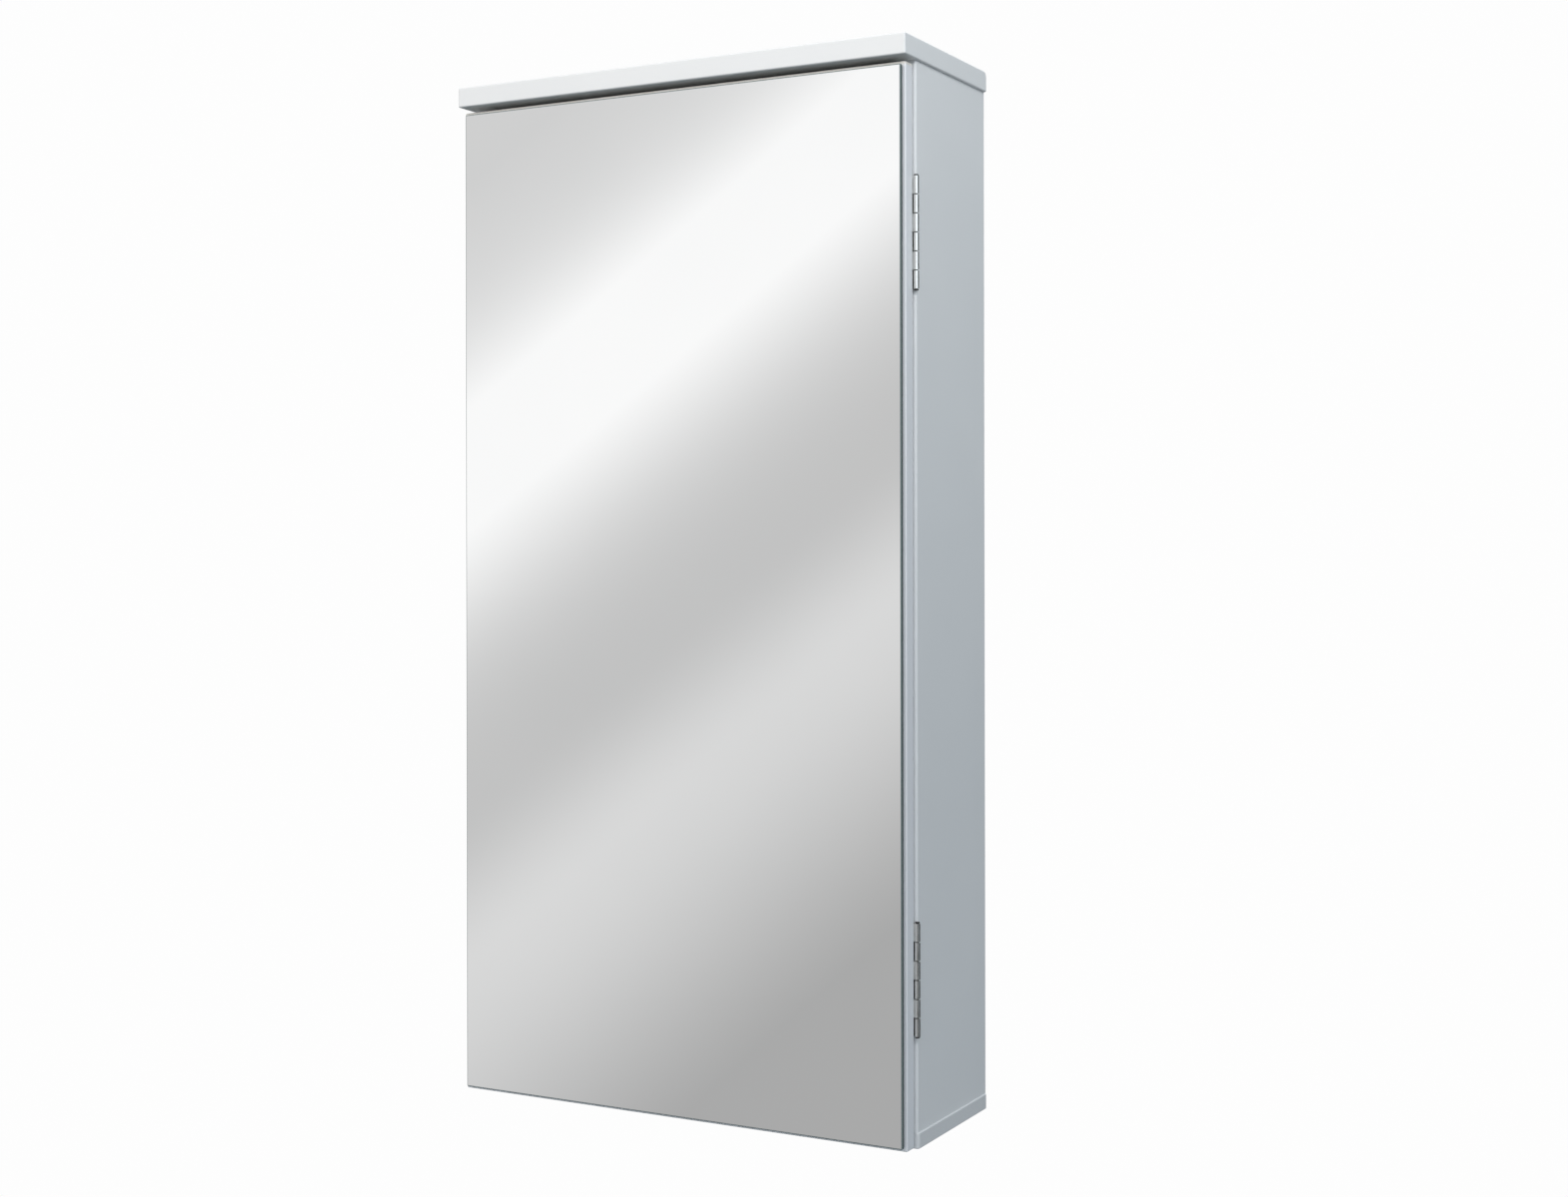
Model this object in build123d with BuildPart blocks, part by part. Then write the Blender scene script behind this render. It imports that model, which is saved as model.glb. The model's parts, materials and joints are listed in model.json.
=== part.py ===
from build123d import *
import os

# Wall-hung medicine cabinet with one mirrored door, hinged on the right.
# +X is right, -Y is the front, +Z is up. The wall is the plane y = 0, and the origin is on it,
# midway between the two wall-screw holes. Lengths are in millimetres.

# ---- driving dimensions: boards ----
CARCASS_W = 300.0        # over the outsides of the two side panels
CARCASS_D = 97.0         # wall to the side panels' front edges
BOARD = 12.0             # side panels, cornice and hanging rail
THIN_BOARD = 9.0         # bottom board, door board and shelves
SIDE_H = 593.5           # side panel height
CORNICE_X = (-150.0, 151.6)  # flush on the left, and past the hinge pins on the right
CORNICE_D = 114.5
BOTTOM_W = 301.6
CORNER_R = 3.0           # corners of the latch's flange and of the strike plate
BOTTOM_CORNER_R = 2.0    # corners of the bottom board in plan
CORNICE_BACK_R = 3.5     # the cornice's top edge by the wall
CORNICE_ARRIS = 1.0
SOFT_ARRIS = 1.5         # front outer edges of the side panels
ARRIS = 0.8              # the remaining softened edges
BACK_T = 3.0             # back panel
BACK_GROOVE = 4.0        # depth of the grooves that hold the back panel
RAIL_H = 50.0            # hanging rail

# ---- driving dimensions: wall fixing ----
WALL_SCREW_DROP = 25.0   # wall screws below the underside of the cornice
WALL_SCREW_SPACING = 200.0
WALL_SCREW_R = 2.75

# ---- driving dimensions: door ----
DOOR_W = 298.0
DOOR_H = 599.0
DOOR_LIFT = 1.0          # door board's bottom edge above the cabinet's underside
DOOR_GAP = 2.2           # between the side panels and the back of the door
MIRROR_W = 294.0
MIRROR_X = 0.6           # middle of the mirror, towards the hinges
MIRROR_H = 595.0
MIRROR_T = 3.0
MIRROR_LIFT = 3.0        # mirror's bottom edge above the cabinet's underside
MIRROR_ARRIS = 0.6
TAPE_T = 0.8
TAPE_W = 20.0
TAPE_H = 560.0
TAPE_SPACING = 110.0

# ---- driving dimensions: butt hinges ----
HINGE_L = 63.0
HINGE_REACH = 206.5      # hinge centres above and below the middle of the door
HINGE_X = 150.6          # pin axis
BARREL_R = 1.6
KNUCKLE_BORE_R = 0.85
PIN_R = 0.8
PIN_HEAD_R = 1.35
PIN_HEAD_T = 0.6
KNUCKLES = 6
KNUCKLE_GAP = 0.6
LEAF_T = 0.8
LEAF_X = (139.4, 148.4)
LEAF_CORNER_R = 1.2
HINGE_SCREW_X = 144.0
HINGE_SCREW_PITCH = 24.0
HINGE_SCREW_R = 1.25
HINGE_SCREW_HEAD_R = 2.3
FRAME_SCREW_L = 12.0
DOOR_SCREW_L = 7.5

# ---- driving dimensions: joints between the boards ----
DOWEL_R = 3.0
DOWEL_Y = -55.0
TOP_DOWEL = (8.0, 16.0)      # depth in the cornice, depth in the side panel
BOTTOM_DOWEL = (6.0, 14.0)   # depth in the bottom board, depth in the side panel
RAIL_DOWEL = (8.0, 16.0)     # depth in the side panel, depth in the rail
RAIL_DOWEL_Z = (-13.0, 13.0)
CAM_R = 6.0
CAM_DEPTH = 9.5
CAM_DROP = 24.0              # cam centre below the underside of the cornice
CAM_Y = (-82.0, -28.0)
CAM_CHANNEL_R = 2.7
CAM_SLOT = (7.0, 1.2, 1.6)   # length, width and depth of the driver slot
BOLT_THREAD_R = 2.5
BOLT_THREAD_L = 8.0
BOLT_SHANK_R = 2.6
BOLT_HOLE_R = 2.8
BOLT_NECK_R = 1.4
BOLT_HEAD_R = 2.4
BOLT_HEAD_T = 2.5
BOARD_SCREW_R = 2.0
BOARD_SCREW_HEAD_R = 3.8
BOARD_SCREW_L = 35.0
BOARD_SCREW_Y = (-82.0, -25.0)

# ---- driving dimensions: shelves ----
SHELF_W = 275.0
SHELF_Y = (-93.0, -16.0)
SHELF_UNDERSIDES = (192.0, 393.0)    # above the cabinet's underside
PIN_ROW_PITCH = 32.0
PIN_ROWS = (-1, 0, 1)
SHELF_PIN_Y = (-80.0, -30.0)
SHELF_PIN_R = 2.5
SHELF_PIN_DEPTH = 8.0
PADDLE_L = 9.0
PADDLE_W = 9.0
PADDLE_T = 1.6
COLLAR_R = 4.0
COLLAR_T = 1.2

# ---- driving dimensions: push latch on the left side panel ----
LATCH_Z = 306.0              # above the cabinet's underside
LATCH_W = 14.0
LATCH_BODY_H = 16.0
LATCH_Y = (-95.0, -57.0)
LATCH_FLANGE_Y = (-90.0, -62.0)
LATCH_FLANGE_H = 36.0
LATCH_FLANGE_T = 2.2
LATCH_BORE_R = 5.0
LATCH_MOUTH_R = 4.1
LATCH_LIP = 4.0
LATCH_CAP_T = 2.0
LATCH_SPIGOT = 2.0
LATCH_SCREW_R = 1.25
LATCH_SCREW_HEAD_R = 2.4
LATCH_SCREW_L = 11.0
LATCH_SCREW_SPACING = 26.0
PLUNGER_R = 4.0
PLUNGER_COLLAR_R = 4.8
PLUNGER_COLLAR_Y = (-81.0, -79.0)
PLUNGER_TAIL_R = 2.5
PLUNGER_TAIL_L = 7.0
MAGNET_R = 3.0
MAGNET_T = 3.0
MAGNET_GAP = 0.3             # magnet's face to the strike plate
MAGNET_PROUD = 0.2
SPRING_R = 3.4
SPRING_WIRE_R = 0.3
SPRING_TURNS = 7
STRIKE_W = 14.0
STRIKE_H = 28.0
STRIKE_T = 1.0
STRIKE_SCREW_SPACING = 20.0
STRIKE_SCREW_R = 1.25
STRIKE_SCREW_HEAD_R = 2.1
STRIKE_SCREW_L = 7.5

HEAD_ANGLE = 90.0            # countersunk heads
RECESS = (0.55, 0.75)        # half length of a cross recess over the head radius, its width in mm

# ---- levels that follow ----
TOP_Z = WALL_SCREW_DROP                      # underside of the cornice
SIDE_Z = TOP_Z - SIDE_H                      # top of the bottom board
FLOOR_Z = SIDE_Z - THIN_BOARD                # the cabinet's underside
INNER_X = CARCASS_W / 2 - BOARD
MID_X = CARCASS_W / 2 - BOARD / 2            # middle of a side panel's thickness
BACK_Y = (-BOARD - BACK_T, -BOARD)
RAIL_Z = (TOP_Z - RAIL_H, TOP_Z)
DOOR_BACK_Y = -CARCASS_D - DOOR_GAP
DOOR_FACE_Y = DOOR_BACK_Y - THIN_BOARD
MIRROR_BACK_Y = DOOR_FACE_Y - TAPE_T
MIRROR_FACE_Y = MIRROR_BACK_Y - MIRROR_T
DOOR_Z = (FLOOR_Z + DOOR_LIFT, FLOOR_Z + DOOR_LIFT + DOOR_H)
DOOR_MID_Z = sum(DOOR_Z) / 2
MIRROR_Z = (FLOOR_Z + MIRROR_LIFT, FLOOR_Z + MIRROR_LIFT + MIRROR_H)
MIRROR_MID_Z = sum(MIRROR_Z) / 2
HINGE_Y = -CARCASS_D - DOOR_GAP / 2
HINGE_Z = {"upper": DOOR_MID_Z + HINGE_REACH, "lower": DOOR_MID_Z - HINGE_REACH}
LATCH_X = LATCH_W / 2 - INNER_X
LATCH_MID_Z = FLOOR_Z + LATCH_Z
STRIKE_FACE_Y = DOOR_BACK_Y + STRIKE_T
MAGNET_FACE_Y = STRIKE_FACE_Y + MAGNET_GAP
SIDES = {"left": -1, "right": 1}


def save(piece, name):
    """Labels a finished piece and writes it as the node of that name."""
    piece.label = name
    export_step(piece, f"parts/{name}.step")


def facing(direction, points):
    """Planes at the given points, each with its normal along the given direction."""
    return [Plane(origin=point, z_dir=direction) for point in points]


def block(x, y, z, mode=Mode.ADD):
    """A block between (low, high) limits, in the part that is being built."""
    centre = tuple((low + high) / 2 for low, high in (x, y, z))
    with Locations(centre):
        Box(x[1] - x[0], y[1] - y[0], z[1] - z[0], mode=mode)


def hinge_screw_levels(mid_z):
    """Heights of a hinge's three screws."""
    return [mid_z + step * HINGE_SCREW_PITCH for step in (-1, 0, 1)]


def spread(middle, spacing):
    """Two places a spacing apart about a middle."""
    return (middle - spacing / 2, middle + spacing / 2)


def countersunk_screw(shank_r, head_r, length):
    """A countersunk screw along -Z with its head's face at the origin, and a cross recess."""
    cone = head_r - shank_r
    tip = shank_r
    with BuildPart() as screw:
        with BuildSketch(Plane.XZ):
            with BuildLine():
                Polyline(
                    (0, 0),
                    (head_r, 0),
                    (shank_r, -cone),
                    (shank_r, tip - length),
                    (0, -length),
                    close=True,
                )
            make_face()
        revolve(axis=Axis.Z)
        with BuildSketch():
            Rectangle(2 * RECESS[0] * head_r, RECESS[1])
            Rectangle(RECESS[1], 2 * RECESS[0] * head_r)
        extrude(amount=-cone, mode=Mode.SUBTRACT)
    return screw.part


def copies(piece, planes):
    """The same piece on each of the given planes, as separate solids."""
    with BuildPart() as group:
        with Locations(*planes):
            add(piece)
    return group.part


def pegs(radius, planes, length):
    """Plain round pegs with softened ends, each starting at a plane and going along its normal."""
    with BuildPart() as peg:
        Cylinder(radius, length, align=(Align.CENTER, Align.CENTER, Align.MIN))
        chamfer(peg.edges().filter_by(GeomType.CIRCLE), radius / 5)
    return copies(peg.part, planes)


# ---- places that several pieces share ----
def cam_bolt_points():
    return [(side * MID_X, y, TOP_Z) for side in SIDES.values() for y in CAM_Y]


def dowel_points(z):
    return [(side * MID_X, DOWEL_Y, z) for side in SIDES.values()]


def board_screw_points():
    return [(side * MID_X, y, FLOOR_Z) for side in SIDES.values() for y in BOARD_SCREW_Y]


def wall_screw_points(y):
    return [(x, y, 0) for x in spread(0, WALL_SCREW_SPACING)]


def shelf_pin_levels(underside):
    """Height of a shelf pin's axis, where its paddle's top carries a shelf's underside."""
    return FLOOR_Z + underside - PADDLE_T / 2


# ---- carcass ----
def cornice():
    """The top board, which oversails the door and the hinges."""
    with BuildPart() as board:
        block(CORNICE_X, (-CORNICE_D, 0), (TOP_Z, TOP_Z + BOARD))
        long_edges = board.edges().filter_by(Axis.X)
        fillet(long_edges.group_by(Axis.Y)[-1].sort_by(Axis.Z)[-1], CORNICE_BACK_R)
        long_edges = board.edges().filter_by(Axis.X)
        ends = board.faces().filter_by(Axis.X).edges()
        front_top = long_edges.group_by(Axis.Y)[0].sort_by(Axis.Z)[-1]
        fillet([*ends, *long_edges.group_by(Axis.Z)[0], front_top], CORNICE_ARRIS)
        block((-INNER_X - BACK_GROOVE, INNER_X + BACK_GROOVE), BACK_Y,
              (TOP_Z, TOP_Z + BACK_GROOVE), Mode.SUBTRACT)
        with Locations(*facing((0, 0, -1), cam_bolt_points())):
            Hole(BOLT_THREAD_R, depth=BOLT_THREAD_L)
        with Locations(*facing((0, 0, -1), dowel_points(TOP_Z))):
            Hole(DOWEL_R, depth=TOP_DOWEL[0])
    return board.part


def bottom_board():
    with BuildPart() as board:
        with BuildSketch(Plane.XY.offset(FLOOR_Z)):
            with Locations((0, -CARCASS_D / 2)):
                Rectangle(BOTTOM_W, CARCASS_D)
        extrude(amount=THIN_BOARD)
        fillet(board.edges().filter_by(Axis.Z), BOTTOM_CORNER_R)
        fillet(board.faces().filter_by(Axis.Z).edges(), ARRIS)
        block((-INNER_X - BACK_GROOVE, INNER_X + BACK_GROOVE), BACK_Y,
              (SIDE_Z - BACK_GROOVE, SIDE_Z), Mode.SUBTRACT)
        with Locations(*facing((0, 0, -1), board_screw_points())):
            CounterSinkHole(BOARD_SCREW_R, BOARD_SCREW_HEAD_R, counter_sink_angle=HEAD_ANGLE)
        with Locations(*facing((0, 0, 1), dowel_points(SIDE_Z))):
            Hole(DOWEL_R, depth=BOTTOM_DOWEL[0])
    return board.part


def side_panel(side):
    """A side panel with its groove, fixing holes and shelf-pin holes; side is -1 or 1."""
    inner = side * INNER_X
    outer = side * CARCASS_W / 2
    into_panel = (-side, 0, 0)
    pin_levels = [
        shelf_pin_levels(underside) + row * PIN_ROW_PITCH
        for underside in SHELF_UNDERSIDES
        for row in PIN_ROWS
    ]
    with BuildPart() as panel:
        with BuildSketch(Plane.XY.offset(SIDE_Z)):
            with Locations((side * MID_X, -CARCASS_D / 2)):
                Rectangle(BOARD, CARCASS_D)
        extrude(amount=SIDE_H)
        uprights = panel.edges().filter_by(Axis.Z)
        front = uprights.group_by(Axis.Y)[0].sort_by(lambda edge: abs(edge.center().X))
        back = uprights.group_by(Axis.Y)[-1].sort_by(lambda edge: abs(edge.center().X))
        fillet(front[-1], SOFT_ARRIS)
        fillet([front[0], back[-1]], ARRIS)
        block(sorted((inner, inner + side * BACK_GROOVE)), BACK_Y, (SIDE_Z, TOP_Z), Mode.SUBTRACT)
        with Locations(*facing((0, 0, 1), [p for p in dowel_points(TOP_Z) if p[0] * side > 0])):
            Hole(DOWEL_R, depth=TOP_DOWEL[1])
        with Locations(*facing((0, 0, -1), [p for p in dowel_points(SIDE_Z) if p[0] * side > 0])):
            Hole(DOWEL_R, depth=BOTTOM_DOWEL[1])
        with Locations(*facing((0, 0, 1), [p for p in cam_bolt_points() if p[0] * side > 0])):
            Hole(BOLT_HOLE_R, depth=CAM_DROP)
        with Locations(*facing(into_panel, [(inner, y, TOP_Z - CAM_DROP) for y in CAM_Y])):
            Hole(CAM_R, depth=CAM_DEPTH)
        with Locations(*facing((0, 0, -1), [(side * MID_X, y, SIDE_Z) for y in BOARD_SCREW_Y])):
            Hole(BOARD_SCREW_R, depth=BOARD_SCREW_L - THIN_BOARD)
        with Locations(*facing(into_panel, [(inner, -BOARD / 2, z) for z in RAIL_DOWEL_Z])):
            Hole(DOWEL_R, depth=RAIL_DOWEL[0])
        with Locations(*facing(into_panel, [(inner, y, z) for y in SHELF_PIN_Y for z in pin_levels])):
            Hole(SHELF_PIN_R, depth=SHELF_PIN_DEPTH)
        if side == SIDES["right"]:
            screws = [(HINGE_SCREW_X, -CARCASS_D, z) for mid in HINGE_Z.values()
                      for z in hinge_screw_levels(mid)]
            with Locations(*facing((0, -1, 0), screws)):
                CounterSinkHole(HINGE_SCREW_R, HINGE_SCREW_HEAD_R - LEAF_T,
                                depth=FRAME_SCREW_L - LEAF_T, counter_sink_angle=HEAD_ANGLE)
        else:
            with Locations(*facing(into_panel, latch_screw_points(inner))):
                Hole(LATCH_SCREW_R, depth=LATCH_SCREW_L - LATCH_FLANGE_T)
    return panel.part


def back_panel():
    """Hardboard back, held in the grooves of the four boards round it."""
    half = INNER_X + BACK_GROOVE
    with BuildPart() as panel:
        block((-half, half), BACK_Y, (SIDE_Z - BACK_GROOVE, TOP_Z + BACK_GROOVE))
        with Locations(*facing((0, -1, 0), wall_screw_points(BACK_Y[0]))):
            Hole(WALL_SCREW_R)
    return panel.part


def hanging_rail():
    """The rail behind the back panel that the wall screws pass through."""
    with BuildPart() as rail:
        block((-INNER_X, INNER_X), (-BOARD, 0), RAIL_Z)
        with Locations(*facing((0, -1, 0), wall_screw_points(-BOARD))):
            Hole(WALL_SCREW_R)
        for side in SIDES.values():
            ends = [(side * INNER_X, -BOARD / 2, z) for z in RAIL_DOWEL_Z]
            with Locations(*facing((side, 0, 0), ends)):
                Hole(DOWEL_R, depth=RAIL_DOWEL[1])
    return rail.part


# ---- joints between the boards ----
def rail_dowels():
    planes = [
        plane
        for side in SIDES.values()
        for plane in facing((-side, 0, 0), [(side * (INNER_X + RAIL_DOWEL[0]), -BOARD / 2, z)
                                            for z in RAIL_DOWEL_Z])
    ]
    return pegs(DOWEL_R, planes, sum(RAIL_DOWEL))


def top_dowels():
    planes = facing((0, 0, 1), dowel_points(TOP_Z - TOP_DOWEL[1]))
    return pegs(DOWEL_R, planes, sum(TOP_DOWEL))


def bottom_dowels():
    planes = facing((0, 0, 1), dowel_points(SIDE_Z - BOTTOM_DOWEL[0]))
    return pegs(DOWEL_R, planes, sum(BOTTOM_DOWEL))


def cam_bolt():
    """A threaded bolt, shank, neck and head, hanging from the origin along -Z."""
    with BuildPart() as bolt:
        with BuildSketch(Plane.XZ):
            with BuildLine():
                Polyline(
                    (0, BOLT_THREAD_L),
                    (BOLT_THREAD_R, BOLT_THREAD_L),
                    (BOLT_THREAD_R, 0),
                    (BOLT_SHANK_R, 0),
                    (BOLT_SHANK_R, CAM_R - CAM_DROP),
                    (BOLT_NECK_R, CAM_R - CAM_DROP),
                    (BOLT_NECK_R, BOLT_HEAD_T / 2 - CAM_DROP),
                    (BOLT_HEAD_R, BOLT_HEAD_T / 2 - CAM_DROP),
                    (BOLT_HEAD_R, -BOLT_HEAD_T / 2 - CAM_DROP),
                    (0, -BOLT_HEAD_T / 2 - CAM_DROP),
                    close=True,
                )
            make_face()
        revolve(axis=Axis.Z)
    return bolt.part


def cam_locks():
    """Round cams in the side panels, each with a channel that holds its bolt's head."""
    with BuildPart() as locks:
        for side in SIDES.values():
            centres = [(side * INNER_X, y, TOP_Z - CAM_DROP) for y in CAM_Y]
            with Locations(*facing((side, 0, 0), centres)):
                Cylinder(CAM_R, CAM_DEPTH, align=(Align.CENTER, Align.CENTER, Align.MIN))
            with Locations(*facing((0, 0, 1), [(side * MID_X, y, TOP_Z) for y in CAM_Y])):
                Hole(CAM_CHANNEL_R, depth=CAM_DROP + BOLT_HEAD_T)
            with Locations(*facing((side, 0, 0), centres)):
                Box(CAM_SLOT[0], CAM_SLOT[1], 2 * CAM_SLOT[2], mode=Mode.SUBTRACT)
                Box(CAM_SLOT[1], CAM_SLOT[0], 2 * CAM_SLOT[2], mode=Mode.SUBTRACT)
    return locks.part


# ---- shelves ----
def shelf(underside):
    low = FLOOR_Z + underside
    with BuildPart() as board:
        block((-SHELF_W / 2, SHELF_W / 2), SHELF_Y, (low, low + THIN_BOARD))
        fillet(board.edges().filter_by(Axis.X).group_by(Axis.Y)[0], ARRIS)
        chamfer(board.edges().filter_by(Axis.Z), ARRIS / 2)
    return board.part


def shelf_pin():
    """A support pin along +X: a round peg from the origin back into the board, and a flat paddle."""
    with BuildPart() as pin:
        with BuildSketch(Plane.YZ.offset(-SHELF_PIN_DEPTH)):
            Circle(SHELF_PIN_R)
        extrude(amount=SHELF_PIN_DEPTH)
        with BuildSketch(Plane.YZ):
            Circle(COLLAR_R)
            with Locations((0, (COLLAR_R + PADDLE_T / 2) / 2 + PADDLE_T / 4)):
                Rectangle(2 * COLLAR_R, COLLAR_R, mode=Mode.SUBTRACT)
        extrude(amount=COLLAR_T)
        with BuildSketch(Plane.XY.offset(-PADDLE_T / 2)):
            with Locations((PADDLE_L / 2, 0)):
                RectangleRounded(PADDLE_L, PADDLE_W, PADDLE_T / 2)
        extrude(amount=PADDLE_T)
        with BuildSketch(Plane.XZ.offset(-PADDLE_T / 2)):
            with BuildLine():
                Polyline(
                    (0, 0),
                    (PADDLE_L - PADDLE_T, 0),
                    (0, -COLLAR_R + PADDLE_T / 2),
                    close=True,
                )
            make_face()
        extrude(amount=PADDLE_T)
    return pin.part


def shelf_pins(underside):
    """Four support pins, peg into the side panels and paddle inwards."""
    level = shelf_pin_levels(underside)
    planes = [
        Plane(origin=(side * INNER_X, y, level), x_dir=(-side, 0, 0), z_dir=(0, 0, 1))
        for side in SIDES.values()
        for y in SHELF_PIN_Y
    ]
    return copies(shelf_pin(), planes)


# ---- door ----
def door_board():
    half = DOOR_W / 2
    screws = [(HINGE_SCREW_X, DOOR_BACK_Y, z) for mid in HINGE_Z.values()
              for z in hinge_screw_levels(mid)]
    with BuildPart() as board:
        block((-half, half), (DOOR_FACE_Y, DOOR_BACK_Y), DOOR_Z)
        fillet(board.edges(), ARRIS)
        with Locations(*facing((0, 1, 0), screws)):
            CounterSinkHole(HINGE_SCREW_R, HINGE_SCREW_HEAD_R - LEAF_T,
                            depth=DOOR_SCREW_L - LEAF_T, counter_sink_angle=HEAD_ANGLE)
        with Locations(*facing((0, 1, 0), strike_screw_points(DOOR_BACK_Y))):
            Hole(STRIKE_SCREW_R, depth=STRIKE_SCREW_L - STRIKE_T)
    return board.part


def mirror_glass():
    """Flat mirror with a fine ground arris all round its front and back."""
    with BuildPart() as glass:
        with BuildSketch(Plane.XZ.offset(-MIRROR_BACK_Y)):
            with Locations((MIRROR_X, MIRROR_MID_Z)):
                Rectangle(MIRROR_W, MIRROR_H)
        extrude(amount=MIRROR_T)
        chamfer(glass.faces().filter_by(Axis.Y).edges(), MIRROR_ARRIS)
    return glass.part


def mirror_tape():
    """Double-sided foam strips that bond the mirror to the door board."""
    with BuildPart() as strips:
        with BuildSketch(Plane.XZ.offset(-DOOR_FACE_Y)):
            with Locations((MIRROR_X, MIRROR_MID_Z)):
                with GridLocations(TAPE_SPACING, 0, 3, 1):
                    Rectangle(TAPE_W, TAPE_H)
        extrude(amount=TAPE_T)
    return strips.part


# ---- butt hinges ----
def knuckle_spans(mid_z, first):
    """The (low, high) spans of every second knuckle, counted down from the top."""
    pitch = HINGE_L / KNUCKLES
    top = mid_z + HINGE_L / 2
    return [
        (top - (i + 1) * pitch + KNUCKLE_GAP / 2, top - i * pitch - KNUCKLE_GAP / 2)
        for i in range(first, KNUCKLES, 2)
    ]


def hinge_leaf(mid_z, leaf_y, first, front):
    """One leaf with its knuckles; first is 0 or 1, and front is the way its screw heads face."""
    low = mid_z - HINGE_L / 2
    leaf_mid = sum(leaf_y) / 2
    face = leaf_y[1] if front > 0 else leaf_y[0]
    with BuildPart() as leaf:
        block(LEAF_X, leaf_y, (low, low + HINGE_L))
        corners = leaf.edges().filter_by(Axis.Y).group_by(Axis.X)[0]
        fillet(corners, LEAF_CORNER_R)
        for span in knuckle_spans(mid_z, first):
            with BuildSketch(Plane.XY.offset(span[0])):
                with Locations((HINGE_X, HINGE_Y)):
                    Circle(BARREL_R)
                with Locations(((LEAF_X[1] + HINGE_X) / 2, leaf_mid)):
                    Rectangle(HINGE_X - LEAF_X[1], LEAF_T)
                with Locations((HINGE_X, HINGE_Y)):
                    Circle(KNUCKLE_BORE_R, mode=Mode.SUBTRACT)
            extrude(amount=span[1] - span[0])
        screws = [(HINGE_SCREW_X, face, z) for z in hinge_screw_levels(mid_z)]
        with Locations(*facing((0, front, 0), screws)):
            CounterSinkHole(HINGE_SCREW_R, HINGE_SCREW_HEAD_R, counter_sink_angle=HEAD_ANGLE)
    return leaf.part


def hinge_pin(mid_z):
    """The pin, with a peened head at each end."""
    low = mid_z - HINGE_L / 2
    with BuildPart() as pin:
        with BuildSketch(Plane.XY.offset(low)):
            with Locations((HINGE_X, HINGE_Y)):
                Circle(PIN_R)
        extrude(amount=HINGE_L)
        for level, step in ((low, -PIN_HEAD_T), (low + HINGE_L, PIN_HEAD_T)):
            with BuildSketch(Plane.XY.offset(level)):
                with Locations((HINGE_X, HINGE_Y)):
                    Circle(PIN_HEAD_R)
            extrude(amount=step)
        heads = pin.edges().filter_by(GeomType.CIRCLE).sort_by(Axis.Z)
        fillet([heads[0], heads[-1]], PIN_HEAD_T / 2)
    return pin.part


def hinge_screws(mid_z, face_y, front, length):
    points = [(HINGE_SCREW_X, face_y, z) for z in hinge_screw_levels(mid_z)]
    screw = countersunk_screw(HINGE_SCREW_R, HINGE_SCREW_HEAD_R, length)
    return copies(screw, facing((0, front, 0), points))


# ---- push latch ----
def latch_screw_points(x):
    middle = sum(LATCH_FLANGE_Y) / 2
    return [(x, middle, z) for z in spread(LATCH_MID_Z, LATCH_SCREW_SPACING)]


def strike_screw_points(y):
    return [(LATCH_X, y, z) for z in spread(LATCH_MID_Z, STRIKE_SCREW_SPACING)]


def round_part(y_radii):
    """A turned part about the latch's axis: (start y, end y, radius) steps, front to back."""
    with BuildPart() as turned:
        for start, end, radius in y_radii:
            with BuildSketch(Plane.XZ.offset(-start)):
                with Locations((LATCH_X, LATCH_MID_Z)):
                    Circle(radius)
            extrude(amount=start - end)
    return turned.part


def latch_housing():
    """Moulded housing: a body round the plunger's bore, on a flange with two screw ears."""
    with BuildPart() as housing:
        block((-INNER_X, -INNER_X + LATCH_W), LATCH_Y, spread(LATCH_MID_Z, LATCH_BODY_H))
        fillet(housing.edges().filter_by(Axis.Y).group_by(Axis.X)[-1], 2 * ARRIS)
        with BuildSketch(Plane.YZ.offset(-INNER_X)):
            with Locations((sum(LATCH_FLANGE_Y) / 2, LATCH_MID_Z)):
                RectangleRounded(LATCH_FLANGE_Y[1] - LATCH_FLANGE_Y[0], LATCH_FLANGE_H, CORNER_R)
        extrude(amount=LATCH_FLANGE_T)
        with BuildSketch(Plane.XZ.offset(-LATCH_Y[1])):
            with Locations((LATCH_X, LATCH_MID_Z)):
                Circle(LATCH_BORE_R)
        extrude(amount=LATCH_Y[1] - LATCH_Y[0] - LATCH_LIP, mode=Mode.SUBTRACT)
        with BuildSketch(Plane.XZ.offset(-LATCH_Y[1])):
            with Locations((LATCH_X, LATCH_MID_Z)):
                Circle(LATCH_MOUTH_R)
        extrude(amount=LATCH_Y[1] - LATCH_Y[0], mode=Mode.SUBTRACT)
        with Locations(*facing((1, 0, 0), latch_screw_points(LATCH_FLANGE_T - INNER_X))):
            CounterSinkHole(LATCH_SCREW_R, LATCH_SCREW_HEAD_R, depth=LATCH_FLANGE_T,
                            counter_sink_angle=HEAD_ANGLE)
    return housing.part


def latch_end_cap():
    """Snap-in cap that closes the back of the bore and backs the spring."""
    end = LATCH_Y[1]
    with BuildPart() as cap:
        block((-INNER_X, -INNER_X + LATCH_W), (end, end + LATCH_CAP_T),
              spread(LATCH_MID_Z, LATCH_BODY_H))
        fillet(cap.edges().filter_by(Axis.Y).group_by(Axis.X)[-1], 2 * ARRIS)
        with BuildSketch(Plane.XZ.offset(-end)):
            with Locations((LATCH_X, LATCH_MID_Z)):
                Circle(LATCH_BORE_R)
        extrude(amount=LATCH_SPIGOT)
    return cap.part


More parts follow.
